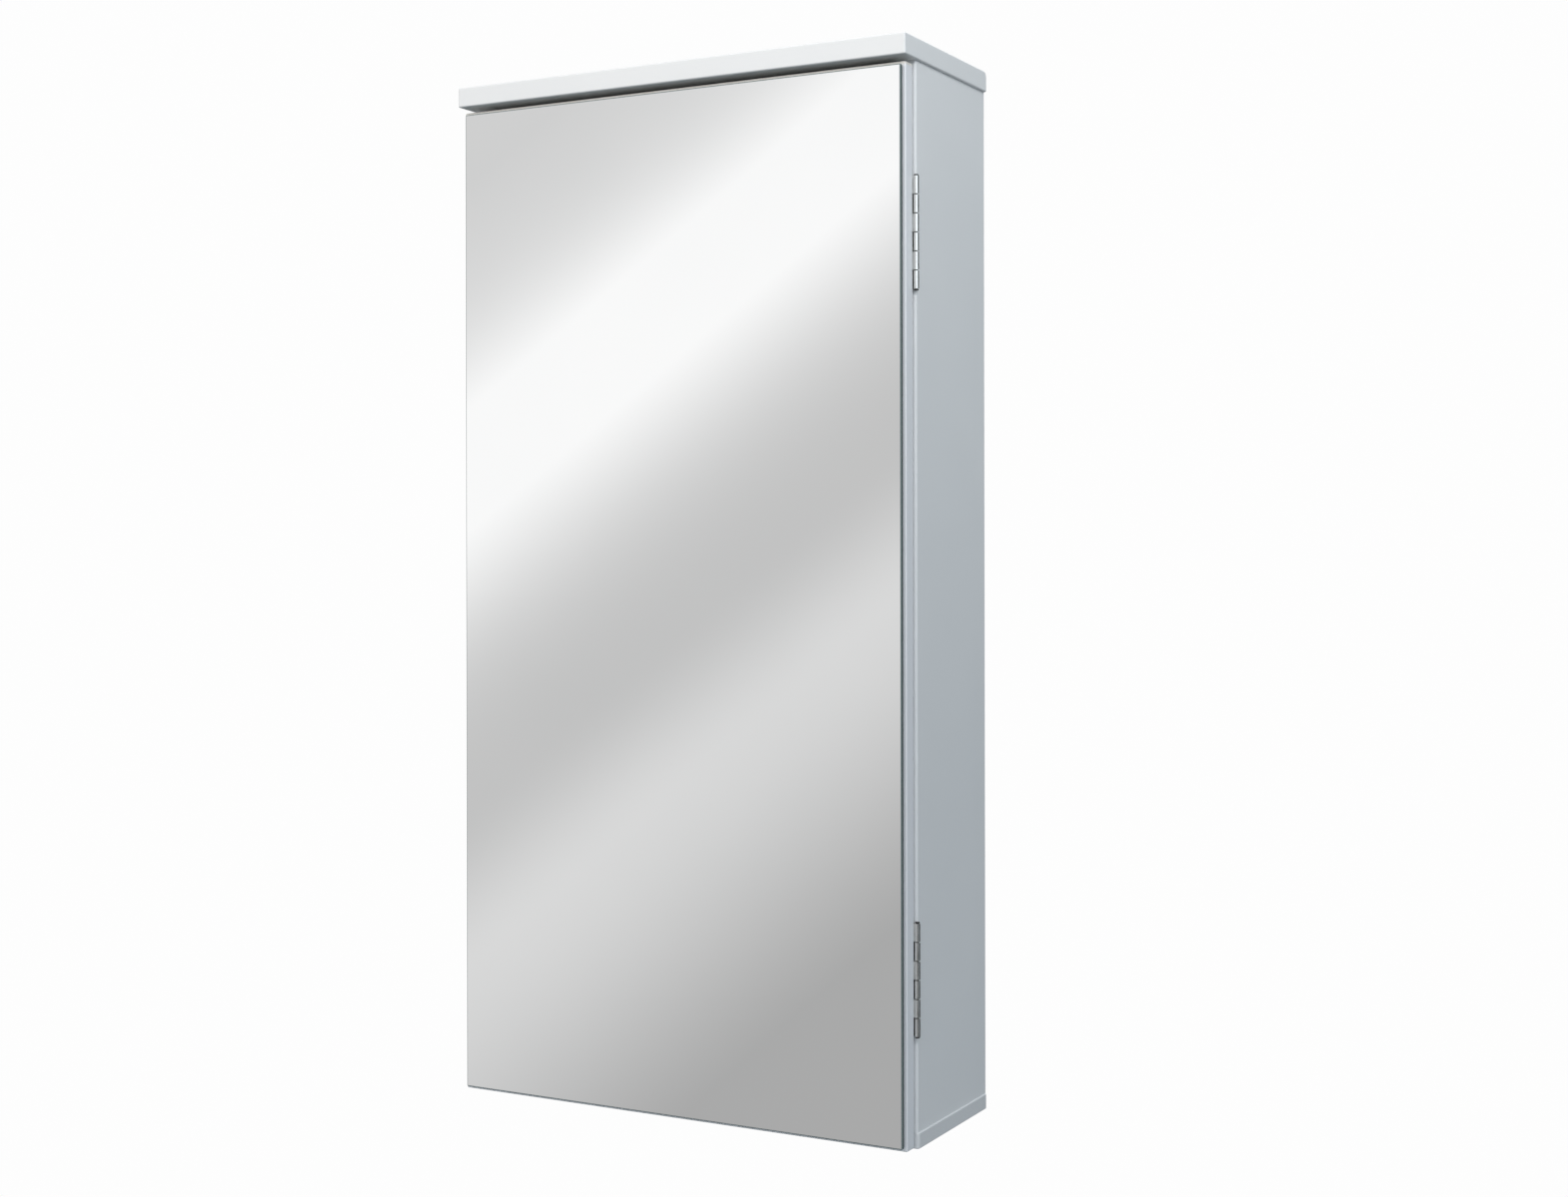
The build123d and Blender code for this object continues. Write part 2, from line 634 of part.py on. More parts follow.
def latch_plunger():
    """Plunger with a magnet pocket in its nose, a stop collar and a tail inside the spring."""
    nose = MAGNET_FACE_Y + MAGNET_PROUD
    tail = PLUNGER_COLLAR_Y[1]
    body = round_part([
        (nose, PLUNGER_COLLAR_Y[0], PLUNGER_R),
        (PLUNGER_COLLAR_Y[0], tail, PLUNGER_COLLAR_R),
        (tail, tail + PLUNGER_TAIL_L, PLUNGER_TAIL_R),
    ])
    with BuildPart() as plunger:
        add(body)
        with Locations(*facing((0, -1, 0), [(LATCH_X, nose, LATCH_MID_Z)])):
            Hole(MAGNET_R, depth=MAGNET_T - MAGNET_PROUD)
    return plunger.part


def latch_magnet():
    return round_part([(MAGNET_FACE_Y, MAGNET_FACE_Y + MAGNET_T, MAGNET_R)])


def latch_spring():
    """Compression spring between the plunger's collar and the end cap."""
    front = PLUNGER_COLLAR_Y[1] + SPRING_WIRE_R
    back = LATCH_Y[1] - LATCH_SPIGOT - SPRING_WIRE_R
    length = back - front
    with BuildPart() as spring:
        with BuildLine() as coil:
            Helix(length / SPRING_TURNS, length, SPRING_R,
                  center=(LATCH_X, front, LATCH_MID_Z), direction=(0, 1, 0))
        with BuildSketch(Plane(origin=coil.line @ 0, z_dir=coil.line % 0)):
            Circle(SPRING_WIRE_R)
        sweep(path=coil.line)
    return spring.part


def latch_screws():
    screw = countersunk_screw(LATCH_SCREW_R, LATCH_SCREW_HEAD_R, LATCH_SCREW_L)
    return copies(screw, facing((1, 0, 0), latch_screw_points(LATCH_FLANGE_T - INNER_X)))


def strike_plate():
    """Steel plate on the back of the door that the magnet pulls."""
    with BuildPart() as plate:
        with BuildSketch(Plane.XZ.offset(-STRIKE_FACE_Y)):
            with Locations((LATCH_X, LATCH_MID_Z)):
                RectangleRounded(STRIKE_W, STRIKE_H, CORNER_R)
        extrude(amount=STRIKE_T)
        with Locations(*facing((0, 1, 0), strike_screw_points(STRIKE_FACE_Y))):
            CounterSinkHole(STRIKE_SCREW_R, STRIKE_SCREW_HEAD_R, depth=STRIKE_T,
                            counter_sink_angle=HEAD_ANGLE)
    return plate.part


def strike_screws():
    screw = countersunk_screw(STRIKE_SCREW_R, STRIKE_SCREW_HEAD_R, STRIKE_SCREW_L)
    return copies(screw, facing((0, 1, 0), strike_screw_points(STRIKE_FACE_Y)))


def build():
    os.makedirs("parts", exist_ok=True)
    save(cornice(), "cornice")
    save(bottom_board(), "bottom_board")
    for name, side in SIDES.items():
        save(side_panel(side), f"{name}_side_panel")
    save(back_panel(), "back_panel")
    save(hanging_rail(), "hanging_rail")
    save(rail_dowels(), "rail_dowels")
    save(top_dowels(), "top_dowels")
    save(bottom_dowels(), "bottom_dowels")
    save(cam_locks(), "cam_locks")
    save(copies(cam_bolt(), facing((0, 0, 1), cam_bolt_points())), "cam_bolts")
    board_screw = countersunk_screw(BOARD_SCREW_R, BOARD_SCREW_HEAD_R, BOARD_SCREW_L)
    save(copies(board_screw, facing((0, 0, -1), board_screw_points())), "bottom_board_screws")
    for name, underside in zip(("lower", "upper"), SHELF_UNDERSIDES):
        save(shelf(underside), f"{name}_shelf")
        save(shelf_pins(underside), f"{name}_shelf_pins")
    save(door_board(), "door_board")
    save(mirror_glass(), "mirror_glass")
    save(mirror_tape(), "mirror_tape_strips")
    frame_leaf = (-CARCASS_D - LEAF_T, -CARCASS_D)
    door_leaf = (DOOR_BACK_Y, DOOR_BACK_Y + LEAF_T)
    for name, mid_z in HINGE_Z.items():
        save(hinge_leaf(mid_z, frame_leaf, 1, -1), f"{name}_hinge_frame_leaf")
        save(hinge_leaf(mid_z, door_leaf, 0, 1), f"{name}_hinge_door_leaf")
        save(hinge_pin(mid_z), f"{name}_hinge_pin")
        save(hinge_screws(mid_z, frame_leaf[0], -1, FRAME_SCREW_L), f"{name}_hinge_frame_screws")
        save(hinge_screws(mid_z, door_leaf[1], 1, DOOR_SCREW_L), f"{name}_hinge_door_screws")
    save(latch_housing(), "latch_housing")
    save(latch_end_cap(), "latch_end_cap")
    save(latch_plunger(), "latch_plunger")
    save(latch_magnet(), "latch_magnet")
    save(latch_spring(), "latch_spring")
    save(latch_screws(), "latch_screws")
    save(strike_plate(), "strike_plate")
    save(strike_screws(), "strike_screws")


build()
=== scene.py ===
import json
import math

import bmesh
import bpy
from mathutils import Matrix, Vector

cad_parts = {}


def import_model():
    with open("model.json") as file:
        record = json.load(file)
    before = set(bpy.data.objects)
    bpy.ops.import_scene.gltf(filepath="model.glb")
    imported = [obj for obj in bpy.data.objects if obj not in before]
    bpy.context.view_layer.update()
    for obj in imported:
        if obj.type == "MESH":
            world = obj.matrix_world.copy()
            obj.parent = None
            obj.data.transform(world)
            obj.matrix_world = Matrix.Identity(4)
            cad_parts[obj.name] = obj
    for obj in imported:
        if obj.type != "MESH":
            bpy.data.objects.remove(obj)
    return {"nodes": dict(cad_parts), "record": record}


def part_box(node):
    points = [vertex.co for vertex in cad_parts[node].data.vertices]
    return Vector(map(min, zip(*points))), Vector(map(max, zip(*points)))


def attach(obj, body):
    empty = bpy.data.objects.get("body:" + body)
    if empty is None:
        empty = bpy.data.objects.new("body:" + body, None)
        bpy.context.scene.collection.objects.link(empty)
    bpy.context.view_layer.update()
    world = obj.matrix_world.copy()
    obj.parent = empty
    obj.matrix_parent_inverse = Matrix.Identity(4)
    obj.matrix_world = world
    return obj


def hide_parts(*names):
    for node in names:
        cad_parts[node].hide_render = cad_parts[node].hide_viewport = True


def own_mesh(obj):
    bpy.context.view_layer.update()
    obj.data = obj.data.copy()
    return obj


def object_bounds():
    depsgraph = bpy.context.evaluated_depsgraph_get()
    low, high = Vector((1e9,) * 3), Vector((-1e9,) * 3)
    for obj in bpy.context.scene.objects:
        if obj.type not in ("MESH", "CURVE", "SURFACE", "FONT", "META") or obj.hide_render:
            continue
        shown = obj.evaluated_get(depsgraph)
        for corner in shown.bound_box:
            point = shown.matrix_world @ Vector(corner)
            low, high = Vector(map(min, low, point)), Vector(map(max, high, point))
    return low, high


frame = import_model()
CAD_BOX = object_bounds()
MM = 0.001

# ---- camera: where it stands from the wall fixing, and how it is turned (metres, degrees) ----
CAMERA_AT = Vector((0.6392, -1.1630, -0.2420))
CAMERA_YAW = 28.235
CAMERA_ROLL = -0.10
CAMERA_LENS = 48.6         # millimetres
CAMERA_SENSOR_W = 36.0     # millimetres
CAMERA_SHIFT_Y = -0.0354

# ---- latch spring ----
SPRING_WIRE_R = 0.3 * MM
SPRING_TURNS = 7
SPRING_STEPS = 32          # rings of mesh in a turn
SPRING_END_CLOSING = 0.6   # how much closer the end turns lie, as a share of the even pitch
WIRE_SIDES = 12

# ---- mirror ----
MIRROR_ARRIS = 0.6 * MM    # width of the ground arris round the glass
ARRIS_SEGMENTS = 2
ARRIS_PROFILE = 0.5        # evenly round
SQUARE_ON = 0.999          # the least share of a flat face's normal along its axis

# ---- surfaces ----
PAINT_IOR = 1.48
GLASS_IOR = 1.52
PLASTIC_IOR = 1.49
EDGE_TO_WALL = 0.7         # a side panel is bare where it faces the wall by more than this
PANEL_TO_WALL = 0.5        # the back panel is brown where it faces the wall by more than this
TOP_BAND_STARTS = 2.2 * MM     # below the door board's top: where the cream band begins
TOP_BAND_ENDS = 0.9 * MM       # and where it is strongest
TOP_BAND_MOST = 0.7            # share of the cream colour there
GLOSS_FINENESS = 2.3       # a metal's gloss marks are this much finer than its clouds
# the mesh pressed into the rough side of hardboard
PRESSED_MESH = {"Scale": 420.0, "Distortion": 1.5}

# ---- studio ----
FLOOR_DROP = 1.05          # the floor below the cabinet's underside
FLOOR_R = 2.3
FLOOR_SIDES = 96
FLOOR_GLOW = 0.3           # keeps the floor pale where little light reaches it
BACKGROUND = (0.985, 0.985, 0.985)
BAND_TILT = 50.0           # the soft bands in front of the mirror lean this far from level
# brightness across those bands: a broad bright band, a dip, a weaker band, then shade
BANDS = ((-0.22, 0.66), (-0.17, 0.80), (-0.12, 1.08), (-0.06, 0.72), (0.0, 0.57), (0.06, 0.72), (0.17, 0.42))
# brightness up the front right side, by the height of the direction: shade below, then a softbox
RIGHT_RISE = ((-0.90, 0.12), (-0.45, 0.26), (-0.26, 0.11), (-0.13, 0.10), (0.10, 1.40), (0.22, 1.40),
              (0.50, 0.75), (0.90, 0.45))
# and up the side behind the wall fixing
BACK_RISE = ((-0.90, 0.12), (-0.45, 0.22), (-0.22, 0.10), (-0.05, 0.12), (0.20, 0.15), (0.50, 0.50),
             (0.90, 0.45))
RIGHT_TINT = (0.90, 0.99, 1.08)
BACK_TINT = (0.88, 1.00, 1.08)
SHADE_BELOW = (0.050, 0.100, 0.125)
# where one part of the studio turns into the next, by the direction's height, x and y
SHADE_HEIGHTS = (-0.34, -0.55)
RIGHT_BEGINS = (0.02, 0.22)
BACK_BEGINS = (-0.25, 0.05)
# softboxes: place from the cabinet's top right front corner, size, watts, colour
FRONT_SOFTBOX = ((-0.25, -0.65, 0.25), (0.9, 0.3), 2.0, (1.0, 0.94, 0.88))
SIDE_SOFTBOX = ((0.60, 0.02, 0.45), (0.4, 0.5), 1.4, (0.95, 0.98, 0.98))
KEY_SOFTBOX = ((0.45, -0.55, 0.40), (0.3, 0.3), 2.2, (1.0, 0.98, 0.96))
BACK_SOFTBOX = ((-0.30, 1.70, 0.10), (0.6, 0.9), 9.0, (1.0, 1.0, 1.0))


# ---------------------------------------------------------------- node helpers
# a Mix node's colour sockets go by number, because its other sockets have the same names
MIX_COLOURS = (6, 7)
MIX_RESULT = 2


class Nodes:
    """A node tree, and short ways to add to it."""

    def __init__(self, tree):
        self.tree = tree

    def node(self, kind, sources, **settings):
        """A node of a kind, its inputs linked or set by index or name, and its settings."""
        made = self.tree.nodes.new("ShaderNode" + kind)
        for setting, value in settings.items():
            setattr(made, setting, value)
        for socket, source in sources.items():
            if isinstance(source, bpy.types.NodeSocket):
                self.tree.links.new(source, made.inputs[socket])
            else:
                made.inputs[socket].default_value = source
        return made

    def spread(self, value, low=0.0, high=1.0, start=0.3, end=0.7, curve="LINEAR"):
        """A value's range from start to end, spread from low to high."""
        sources = {"Value": value, "From Min": start, "From Max": end, "To Min": low, "To Max": high}
        return self.node("MapRange", sources, interpolation_type=curve).outputs["Result"]

    def math(self, operation, first, second):
        return self.node("Math", {0: first, 1: second}, operation=operation).outputs[0]

    def blend(self, factor, first, second):
        """A colour between two colours, each a socket or an RGB triple."""
        sources = {"Factor": factor}
        for socket, colour in zip(MIX_COLOURS, (first, second)):
            sources[socket] = colour if isinstance(colour, bpy.types.NodeSocket) else (*colour, 1.0)
        return self.node("Mix", sources, data_type="RGBA").outputs[MIX_RESULT]

    def ramp(self, value, stops, curve, tint=(1.0, 1.0, 1.0)):
        """A tinted grey that goes smoothly through (value, brightness) stops."""
        low, high = stops[0][0], stops[-1][0]
        made = self.node("ValToRGB", {"Fac": self.spread(value, 0.0, 1.0, low, high)})
        made.color_ramp.interpolation = curve
        places = made.color_ramp.elements
        while len(places) < len(stops):
            places.new(0.5)
        for place, (at, level) in zip(places, stops):
            place.position = (at - low) / (high - low)
            place.color = (*(level * part for part in tint), 1.0)
        return made.outputs["Color"]


class Shader(Nodes):
    """A material with one Principled shader."""

    def __init__(self, name, **values):
        self.material = bpy.data.materials.new(name)
        self.material.use_nodes = True
        super().__init__(self.material.node_tree)
        self.bsdf = self.tree.nodes["Principled BSDF"]
        for socket, value in values.items():
            self.bsdf.inputs[socket.replace("_", " ")].default_value = value
        self.place = self.node("TexCoord", {}).outputs["Object"]

    def feed(self, socket, source):
        self.tree.links.new(source, self.bsdf.inputs[socket])

    def mottle(self, pattern, first, second):
        """The base colour, from one colour to another by a pattern."""
        self.feed("Base Color", self.blend(self.spread(pattern), first, second))

    def stretched(self, scale):
        """The object's own coordinates, scaled by axis."""
        return self.node("Mapping", {"Vector": self.place, "Scale": scale}).outputs[0]

    def noise(self, scale, detail=2.0, place=None):
        """Noise with features about 1 / scale metres across."""
        sources = {"Vector": place or self.place, "Scale": scale, "Detail": detail}
        return self.node("TexNoise", sources).outputs["Fac"]

    def bump(self, height, distance, strength=1.0):
        """Bumps up to a distance high, in metres. Each call adds to the bumps already there."""
        sources = {"Height": height, "Distance": distance, "Strength": strength}
        linked = self.bsdf.inputs["Normal"].links
        if linked:
            sources["Normal"] = linked[0].from_socket
        self.feed("Normal", self.node("Bump", sources).outputs["Normal"])

    def facing(self, axis):
        """How far the surface faces along an object axis, from -1 to 1."""
        normal = self.node("TexCoord", {}).outputs["Normal"]
        return self.node("SeparateXYZ", {0: normal}).outputs["XYZ".index(axis)]

    def along(self, axis):
        """The position along an object axis, in metres."""
        return self.node("SeparateXYZ", {0: self.place}).outputs["XYZ".index(axis)]


# ---------------------------------------------------------------- materials
def lacquer(name, light, dark, gloss=(0.30, 0.40)):
    """Sprayed white board: a faint orange peel, slow colour drift and uneven gloss."""
    shader = Shader(name, IOR=PAINT_IOR)
    shader.mottle(shader.noise(7.0, 3.0), light, dark)
    shader.feed("Roughness", shader.spread(shader.noise(38.0, 4.0), *gloss))
    shader.bump(shader.noise(420.0, 1.0), 0.02 * MM, 0.5)
    shader.bump(shader.noise(60.0, 2.0), 0.04 * MM, 0.35)
    return shader


def fibreboard(shader):
    """Colour of a cut fibreboard edge, with its fine speckle."""
    fibres = shader.noise(900.0, 3.0, shader.stretched((1.0, 1.0, 0.35)))
    return shader.blend(shader.spread(fibres), (0.50, 0.36, 0.22), (0.66, 0.51, 0.35))


def painted_board():
    return lacquer("painted_board", (0.88, 0.885, 0.885), (0.85, 0.86, 0.862))


def bottom_board():
    """The bottom board, in a darker copy of the white paint: painted shade for the dimmer light low on the
    cabinet.
    """
    return lacquer("bottom_board_painted_shade", (0.81, 0.818, 0.822), (0.78, 0.79, 0.796))


def side_board():
    """The side panels: painted, with a bare fibreboard edge against the wall."""
    shader = lacquer("side_board", (0.87, 0.878, 0.88), (0.84, 0.852, 0.858))
    painted = shader.bsdf.inputs["Base Color"].links[0].from_socket
    bare = shader.math("GREATER_THAN", shader.facing("Y"), EDGE_TO_WALL)
    shader.feed("Base Color", shader.blend(bare, painted, fibreboard(shader)))
    return shader


def door_paint_with_painted_light():
    """The door board: a lighter, bluer copy of the white paint, which is painted light, with a cream band
    along its top edge.
    """
    # painted light: the white paint is made lighter and bluer here, for the cool light on the door's front
    shader = lacquer("door_paint_with_painted_light", (0.885, 0.900, 0.925), (0.86, 0.875, 0.900))
    painted = shader.bsdf.inputs["Base Color"].links[0].from_socket
    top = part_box("door_board")[1][2]
    # a cream band along the door board's top edge, strongest just below the top
    worn = shader.spread(shader.along("Z"), 0.0, TOP_BAND_MOST, top - TOP_BAND_STARTS, top - TOP_BAND_ENDS)
    streaks = shader.noise(120.0, 3.0)
    cream = shader.blend(shader.spread(streaks), (0.70, 0.64, 0.54), (0.83, 0.80, 0.73))
    shader.feed("Base Color", shader.blend(worn, painted, cream))
    return shader


def shelf_board():
    return lacquer("shelf_board", (0.87, 0.87, 0.86), (0.84, 0.842, 0.835), (0.36, 0.46))


def hardboard():
    """Back panel: white inside, raw brown hardboard with a mesh-pressed face behind."""
    shader = Shader("hardboard", Roughness=0.55)
    weave, weft = (
        shader.node("TexWave", {"Vector": shader.place, **PRESSED_MESH}, bands_direction=axis).outputs["Fac"]
        for axis in "XZ"
    )
    speck = shader.spread(shader.noise(500.0, 4.0))
    brown = shader.blend(speck, (0.22, 0.125, 0.07), (0.36, 0.225, 0.135))
    drift = shader.spread(shader.noise(9.0))
    white = shader.blend(drift, (0.85, 0.85, 0.84), (0.82, 0.82, 0.812))
    behind = shader.math("GREATER_THAN", shader.facing("Y"), PANEL_TO_WALL)
    shader.feed("Base Color", shader.blend(behind, white, brown))
    shader.bump(shader.math("MULTIPLY", shader.math("ADD", weave, weft), behind), 0.12 * MM, 0.6)
    return shader


def raw_board():
    """Bare fibreboard of the hanging rail."""
    shader = Shader("raw_board", Roughness=0.8)
    shader.feed("Base Color", fibreboard(shader))
    shader.bump(shader.noise(700.0, 3.0), 0.1 * MM, 0.5)
    return shader


def silvering():
    """The mirror's silvered face behind clear glass, with a trace of haze and dust."""
    shader = Shader("silvering", Metallic=1.0)
    haze = shader.spread(shader.noise(5.0, 4.0), 0.0, 1.0, 0.45, 0.75)
    shader.feed("Base Color", shader.blend(haze, (0.945, 0.948, 0.948), (0.925, 0.930, 0.930)))
    shader.feed("Roughness", shader.spread(shader.noise(11.0, 5.0), 0.004, 0.022, 0.4, 0.8))
    return shader


def glass_edge():
    """The cut edge of the mirror: dark grey-green glass, ground and polished along its length."""
    shader = Shader("glass_edge", IOR=GLASS_IOR, Coat_Weight=0.3, Coat_Roughness=0.1)
    streak = shader.noise(240.0, 3.0, shader.stretched((1.0, 1.0, 0.05)))
    shader.mottle(streak, (0.028, 0.050, 0.049), (0.060, 0.092, 0.088))
    shader.feed("Roughness", shader.spread(streak, 0.16, 0.34))
    shader.bump(streak, 0.02 * MM, 0.6)
    return shader


def ground_arris():
    """The mirror's fine ground arris: frosted, lighter than the cut edge."""
    shader = Shader("ground_arris", IOR=GLASS_IOR)
    grit = shader.noise(2500.0, 2.0)
    shader.mottle(grit, (0.14, 0.18, 0.18), (0.26, 0.31, 0.30))
    shader.feed("Roughness", shader.spread(grit, 0.28, 0.5))
    return shader


def backing_paint():
    """Grey protective paint on the mirror's back."""
    shader = Shader("backing_paint", Roughness=0.6)
    shader.mottle(shader.noise(30.0, 4.0), (0.20, 0.22, 0.23), (0.27, 0.29, 0.30))
    shader.bump(shader.noise(800.0), 0.03 * MM, 0.4)
    return shader


def foam():
    """Closed-cell foam tape."""
    shader = Shader("foam", Roughness=0.85)
    cells = shader.node("TexVoronoi", {"Vector": shader.place, "Scale": 2200.0}).outputs["Distance"]
    shade = shader.spread(cells, 0.0, 1.0, 0.1, 0.6)
    shader.feed("Base Color", shader.blend(shade, (0.66, 0.66, 0.64), (0.86, 0.86, 0.84)))
    shader.bump(cells, 0.1 * MM, 0.6)
    return shader


def metal(name, light, dark, gloss, brushed=None, scale=160.0):
    """Bare or plated metal: cloudy gloss, fine marks, and brushing when its direction is given."""
    shader = Shader(name, Metallic=1.0)
    shader.mottle(shader.noise(scale, 4.0), light, dark)
    shader.feed("Roughness", shader.spread(shader.noise(GLOSS_FINENESS * scale, 3.0), *gloss))
    marks = shader.noise(1500.0, 2.0, shader.stretched(brushed) if brushed else None)
    shader.bump(marks, 0.008 * MM, 0.6)
    return shader


def nickel():
    return metal("nickel", (0.88, 0.86, 0.82), (0.82, 0.80, 0.76), (0.16, 0.26), (1.0, 1.0, 0.08), 60.0)


def zinc_plate():
    return metal("zinc_plate", (0.70, 0.71, 0.74), (0.56, 0.58, 0.61), (0.26, 0.42))


def die_cast():
    return metal("die_cast", (0.62, 0.62, 0.61), (0.50, 0.50, 0.50), (0.42, 0.60), scale=420.0)


def pin_steel_painted_shade():
    """Hinge pins: drawn steel, made near black as painted shade for the dark gaps between the knuckles."""
    return metal("pin_steel_painted_shade", (0.13, 0.125, 0.12), (0.08, 0.078, 0.075), (0.35, 0.50), (1.0, 1.0, 0.08))


def spring_wire():
    return metal("spring_wire", (0.66, 0.66, 0.68), (0.52, 0.52, 0.55), (0.25, 0.40))


def strike_steel():
    return metal("strike_steel", (0.78, 0.79, 0.80), (0.66, 0.67, 0.69), (0.30, 0.45), (0.06, 1.0, 1.0))


def magnet():
    """Sintered magnet, dull dark grey with worn bright specks."""
    shader = Shader("magnet", Metallic=0.6)
    specks = shader.noise(1800.0, 4.0)
    shader.mottle(specks, (0.055, 0.055, 0.06), (0.17, 0.17, 0.175))
    shader.feed("Roughness", shader.spread(specks, 0.62, 0.45))
    shader.bump(specks, 0.04 * MM, 0.5)
    return shader


def plastic(name, light, dark, gloss):
    """Moulded plastic with a fine spark-eroded grain."""
    shader = Shader(name, IOR=PLASTIC_IOR)
    shader.mottle(shader.noise(45.0, 3.0), light, dark)
    shader.feed("Roughness", shader.spread(shader.noise(260.0, 3.0), *gloss))
    shader.bump(shader.noise(1600.0, 2.0), 0.02 * MM, 0.5)
    return shader


def latch_plastic():
    return plastic("latch_plastic", (0.84, 0.84, 0.83), (0.79, 0.79, 0.78), (0.38, 0.50))


def plunger_plastic():
    return plastic("plunger_plastic", (0.72, 0.72, 0.71), (0.66, 0.66, 0.655), (0.30, 0.42))


def beech():
    """Beech dowel: warm wood with short dark pores."""
    shader = Shader("beech", Roughness=0.6)
    grain = shader.noise(260.0, 4.0, shader.stretched((1.0, 1.0, 0.12)))
    pores = shader.spread(shader.noise(1400.0, 2.0), 1.0, 0.0, 0.25, 0.36)
    wood = shader.blend(shader.spread(grain), (0.62, 0.42, 0.25), (0.76, 0.57, 0.37))
    shader.feed("Base Color", shader.blend(pores, wood, (0.36, 0.22, 0.12)))
    shader.bump(grain, 0.08 * MM, 0.5)
    return shader


# the material of each of the record's slots
FINISHES = {
    "white_board": painted_board,
    "white_shelf_board": shelf_board,
    "back_hardboard": hardboard,
    "rail_board": raw_board,
    "foam_tape": foam,
    "hinge_nickel": nickel,
    "screw_zinc": zinc_plate,
    "cam_zinc": die_cast,
    "dowel_beech": beech,
    "pin_nickel": nickel,
    "latch_plastic": latch_plastic,
    "plunger_plastic": plunger_plastic,
    "magnet_dark": magnet,
    "spring_steel": spring_wire,
    "strike_steel": strike_steel,
}
# nodes that take another material than their slot's
SPECIAL_FINISHES = {
    "bottom_board": bottom_board,
    "left_side_panel": side_board,
    "right_side_panel": side_board,
    "door_board": door_paint_with_painted_light,
}
for level in ("upper", "lower"):
    # hinge pins: near-black steel, painted shade for the gaps between the knuckles
    SPECIAL_FINISHES[level + "_hinge_pin"] = pin_steel_painted_shade
    for leaf in ("frame", "door"):
        SPECIAL_FINISHES[f"{level}_hinge_{leaf}_screws"] = zinc_plate


def dress_cad_nodes():
    """Gives every CAD node the material of its slot, or its own special one."""
    made = {}
    slots = {part["node"]: part["material_slot"] for part in frame["record"]["subparts"]}
    for name, piece in frame["nodes"].items():
        finish = SPECIAL_FINISHES.get(name) or FINISHES.get(slots[name])
        if finish is None:      # the mirror glass, which mirror_plate replaces
            continue
        if finish not in made:
            made[finish] = finish().material
        for slot in piece.material_slots:
            slot.material = made[finish]


# ---------------------------------------------------------------- objects
def show(made):
    """Puts an object in the scene."""
    bpy.context.scene.collection.objects.link(made)


def mesh_object(name, shape, materials):
    """An object in the scene, made from a shape that is then freed."""
    mesh = bpy.data.meshes.new(name)
    shape.to_mesh(mesh)
    shape.free()
    for material in materials:
        mesh.materials.append(material)
    made = bpy.data.objects.new(name, mesh)
    show(made)
    return made


# ---------------------------------------------------------------- mirror
MIRROR_FINISHES = (silvering, glass_edge, ground_arris, backing_paint)


def mirror_finish(normal):
    """The finish of a mirror face, by where its normal points."""
    if normal.y < -SQUARE_ON:
        return silvering
    if normal.y > SQUARE_ON:
        return backing_paint
    if max(abs(normal.x), abs(normal.z)) > SQUARE_ON:
        return glass_edge
    return ground_arris


def mirror_plate():
    """The mirror as a glass plate with a ground arris: silvered front, cut edges, painted back."""
    low, high = (Vector(corner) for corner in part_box("mirror_glass"))
    shape = bmesh.new()
    bmesh.ops.create_cube(shape, size=1.0)
    bmesh.ops.scale(shape, vec=high - low, verts=shape.verts)
    bmesh.ops.translate(shape, vec=(low + high) / 2, verts=shape.verts)
    bmesh.ops.bevel(shape, geom=shape.edges[:], offset=MIRROR_ARRIS, segments=ARRIS_SEGMENTS,
                    profile=ARRIS_PROFILE, affect="EDGES")
    for face in shape.faces:
        face.material_index = MIRROR_FINISHES.index(mirror_finish(face.normal))
    piece = mesh_object("mirror_plate", shape, [finish().material for finish in MIRROR_FINISHES])
    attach(piece, "door")
    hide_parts("mirror_glass")


# ---------------------------------------------------------------- latch spring
def latch_spring():
    """The latch's compression spring, with its end turns wound close."""
    low, high = (Vector(corner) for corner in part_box("latch_spring"))
    middle = (low + high) / 2
    wire = SPRING_WIRE_R
    radius = (high.x - low.x) / 2 - wire
    length = high.y - low.y - 2 * wire
    steps = SPRING_TURNS * SPRING_STEPS
    shape = bmesh.new()
    rings = []
    for step in range(steps + 1):
        share = step / steps
        turn = 2 * math.pi * SPRING_TURNS * share
        # the end turns lie closer together than the middle ones
        rise = length * (share - SPRING_END_CLOSING * math.sin(2 * math.pi * share) / (2 * math.pi))
        outward = Vector((math.cos(turn), 0.0, math.sin(turn)))
        centre = Vector((middle.x, low.y + wire + rise, middle.z)) + outward * radius
        ring = []
        for side in range(WIRE_SIDES):
            angle = 2 * math.pi * side / WIRE_SIDES
            offset = outward * math.cos(angle) + Vector((0.0, 1.0, 0.0)) * math.sin(angle)
            ring.append(shape.verts.new(centre + offset * wire))
        rings.append(ring)
    for first, second in zip(rings, rings[1:]):
        for side in range(WIRE_SIDES):
            after = (side + 1) % WIRE_SIDES
            shape.faces.new((first[side], second[side], second[after], first[after]))
    shape.faces.new(rings[0])
    shape.faces.new(reversed(rings[-1]))
    bmesh.ops.recalc_face_normals(shape, faces=shape.faces)
    for face in shape.faces:
        face.smooth = len(face.verts) == 4
    piece = mesh_object("compression_spring", shape, [spring_wire().material])
    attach(piece, "carcass")
    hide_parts("latch_spring")
    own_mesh(piece)


